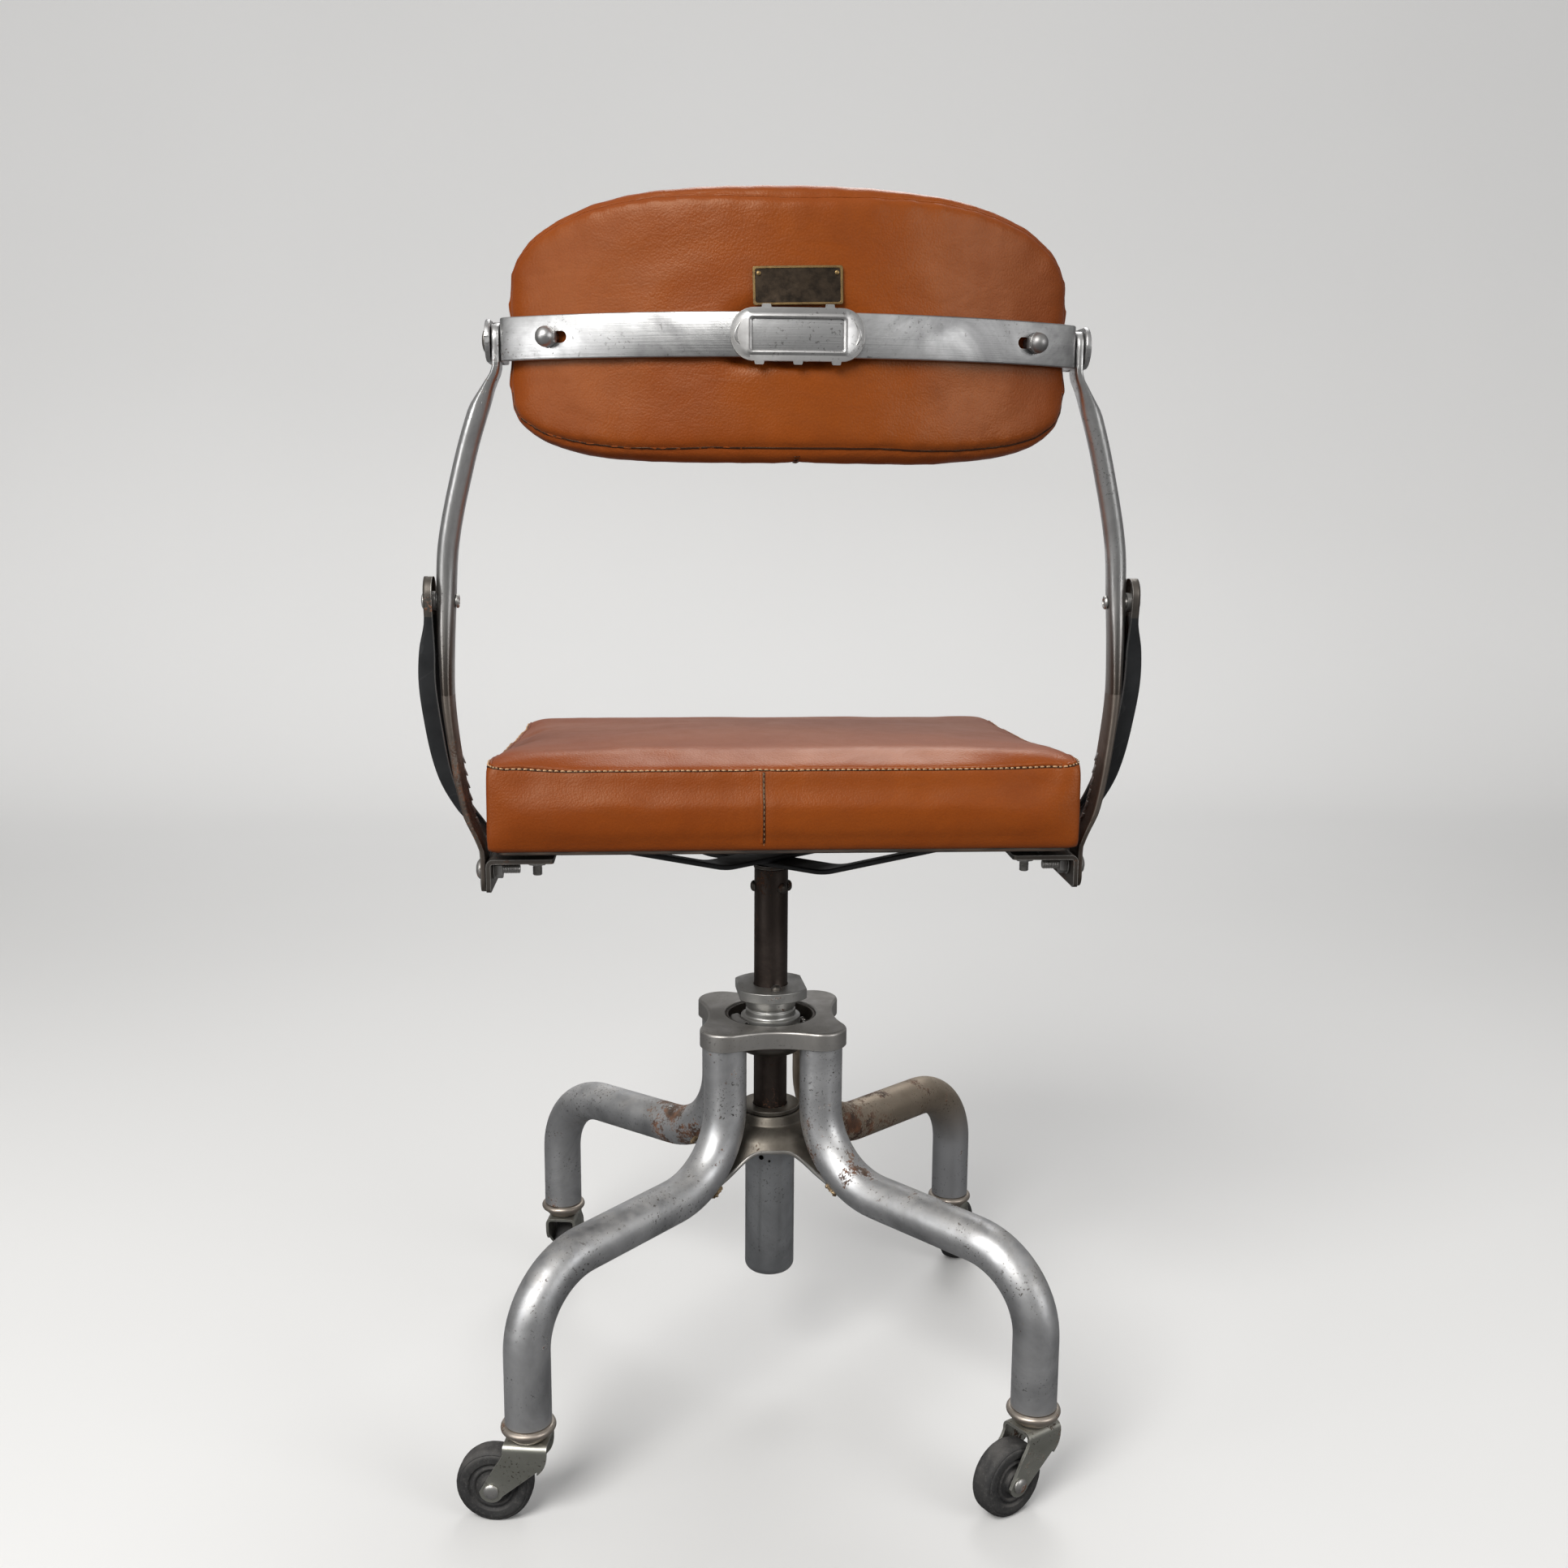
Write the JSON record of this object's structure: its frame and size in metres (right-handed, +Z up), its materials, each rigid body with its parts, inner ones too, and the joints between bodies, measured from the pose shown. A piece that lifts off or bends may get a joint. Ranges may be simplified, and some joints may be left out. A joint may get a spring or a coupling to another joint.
{
  "type": "swivel task chair",
  "caption": "Swivel task chair on a bent-tube caster base, with a padded seat on crossed irons, a height clamp, leaning side frames and a small pivoting back pad on a bowed strap.",
  "frame": {"origin": "on the floor, on the seat's swivel axis, at the middle of the four feet", "axes": "+Z up along the swivel axis; +Y the way the sitter faces; +X to the sitter's right"},
  "size_m": [0.4708, 0.4524, 0.862],
  "materials": {
    "leg_steel": "worn bare steel with rust speckle",
    "bright_steel": "satin",
    "rusty_steel": "dark, rusted",
    "black_paint": "worn black enamel",
    "board": "dark stained",
    "leather": "aged, semi-matt",
    "rubber": "dusty",
    "brass": "aged"
  },
  "bodies": {
    "base": {"rear_left_leg": "leg_steel", "rear_left_ferrule": "bright_steel", "rear_right_leg": "leg_steel", "rear_right_ferrule": "bright_steel", "front_left_leg": "leg_steel", "front_left_ferrule": "bright_steel", "front_right_leg": "leg_steel", "front_right_ferrule": "bright_steel", "top_cap": "leg_steel", "bearing_cup": "rusty_steel", "spring_clip": "bright_steel", "lower_web": "leg_steel", "lower_washer": "leg_steel", "barrel": "leg_steel"},
    "rear_left_caster": {"rear_left_fork": "bright_steel", "rear_left_axle": "bright_steel"},
    "rear_left_roller": {"rear_left_wheel": "rubber"},
    "rear_right_caster": {"rear_right_fork": "bright_steel", "rear_right_axle": "bright_steel"},
    "rear_right_roller": {"rear_right_wheel": "rubber"},
    "front_left_caster": {"front_left_fork": "bright_steel", "front_left_axle": "bright_steel"},
    "front_left_roller": {"front_left_wheel": "rubber"},
    "front_right_caster": {"front_right_fork": "bright_steel", "front_right_axle": "bright_steel"},
    "front_right_roller": {"front_right_wheel": "rubber"},
    "swivel": {"collar_nut": "leg_steel", "clamp_plate": "leg_steel", "clamp_screw": "bright_steel"},
    "seat": {"spindle": "rusty_steel", "seat_hub": "rusty_steel", "cross_pin": "rusty_steel", "hub_rivet": "rusty_steel", "lower_iron": "black_paint", "upper_iron": "black_paint", "seat_board": "board", "seat_cushion": "leather", "left_bracket": "black_paint", "left_seat_bolt": "rusty_steel", "left_pivot_bolt": "rusty_steel", "left_clamp_bolt": "rusty_steel", "right_bracket": "black_paint", "right_seat_bolt": "rusty_steel", "right_pivot_bolt": "rusty_steel", "right_clamp_bolt": "rusty_steel"},
    "back_frame": {"left_upright": "bright_steel", "left_arm": "black_paint", "left_elbow_pin": "rusty_steel", "right_upright": "bright_steel", "right_arm": "black_paint", "right_elbow_pin": "rusty_steel"},
    "back": {"back_strap": "bright_steel", "back_pad": "leather", "label_holder": "bright_steel", "name_plate": "brass", "left_ear_pin": "rusty_steel", "left_dome_bolt": "bright_steel", "right_ear_pin": "rusty_steel", "right_dome_bolt": "bright_steel"}
  },
  "joints": [
    {"name": "rear_left_caster_swivel", "type": "hinge", "parent": "base", "child": "rear_left_caster", "pos_m": [-0.17275, -0.17275, 0.06], "axis": [0, 0, 1], "continuous": true},
    {"name": "rear_left_wheel_spin", "type": "hinge", "parent": "rear_left_caster", "child": "rear_left_roller", "pos_m": [-0.19602, -0.16948, 0.02598], "axis": [-0.1392, -0.9903, 0], "continuous": true},
    {"name": "rear_right_caster_swivel", "type": "hinge", "parent": "base", "child": "rear_right_caster", "pos_m": [0.17275, -0.17275, 0.06], "axis": [0, 0, 1], "continuous": true},
    {"name": "rear_right_wheel_spin", "type": "hinge", "parent": "rear_right_caster", "child": "rear_right_roller", "pos_m": [0.15282, -0.1852, 0.02598], "axis": [0.5299, -0.848, 0], "continuous": true},
    {"name": "front_left_caster_swivel", "type": "hinge", "parent": "base", "child": "front_left_caster", "pos_m": [-0.17275, 0.17275, 0.06], "axis": [0, 0, 1], "continuous": true},
    {"name": "front_left_wheel_spin", "type": "hinge", "parent": "front_left_caster", "child": "front_left_roller", "pos_m": [-0.16948, 0.19602, 0.02598], "axis": [-0.9903, 0.1392, 0], "continuous": true},
    {"name": "front_right_caster_swivel", "type": "hinge", "parent": "base", "child": "front_right_caster", "pos_m": [0.17275, 0.17275, 0.06], "axis": [0, 0, 1], "continuous": true},
    {"name": "front_right_wheel_spin", "type": "hinge", "parent": "front_right_caster", "child": "front_right_roller", "pos_m": [0.18378, 0.1935, 0.02598], "axis": [-0.8829, 0.4695, 0], "continuous": true},
    {"name": "seat_swivel", "type": "hinge", "parent": "base", "child": "swivel", "pos_m": [0, 0, 0.3], "axis": [0, 0, 1], "continuous": true},
    {"name": "seat_height", "type": "slide", "parent": "swivel", "child": "seat", "axis": [0, 0, 1], "range_m": [-0.055, 0.03]},
    {"name": "back_lean", "type": "hinge", "parent": "seat", "child": "back_frame", "pos_m": [0, -0.108, 0.4462], "axis": [1, 0, 0], "range_deg": [-4, 6]},
    {"name": "back_tilt", "type": "hinge", "parent": "back_frame", "child": "back", "pos_m": [0, -0.165, 0.778], "axis": [1, 0, 0], "range_deg": [-15, 15]}
  ]
}
